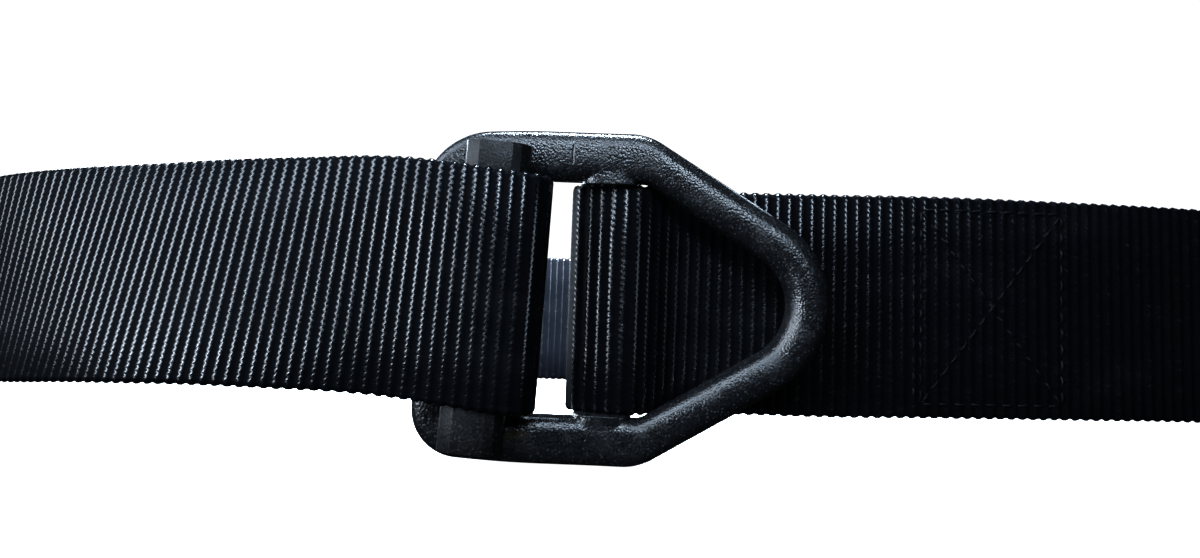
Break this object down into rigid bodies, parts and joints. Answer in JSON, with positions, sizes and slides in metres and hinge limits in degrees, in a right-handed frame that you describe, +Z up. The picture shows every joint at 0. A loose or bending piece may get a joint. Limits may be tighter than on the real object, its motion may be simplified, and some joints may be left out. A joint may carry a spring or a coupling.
{
  "type": "nylon webbing belt with a V-ring friction buckle",
  "caption": "Ribbed black nylon webbing belt closed in a loop through a cast metal V-ring friction buckle with a loose slide bar.",
  "frame": {"origin": "middle of the footprint, on the surface that the belt stands on", "axes": "+Z up along the strap's width, the buckle's front faces -Y, +X runs from the tail towards the V ring"},
  "size_m": [0.3734, 0.1516, 0.0555],
  "materials": {
    "webbing": "ribbed woven nylon, satin",
    "coated_metal": "fine-grained black powder coat, satin"
  },
  "bodies": {
    "root": {"belt_strap": "webbing", "buckle_frame": "coated_metal", "slide_bar": "coated_metal"}
  },
  "joints": []
}
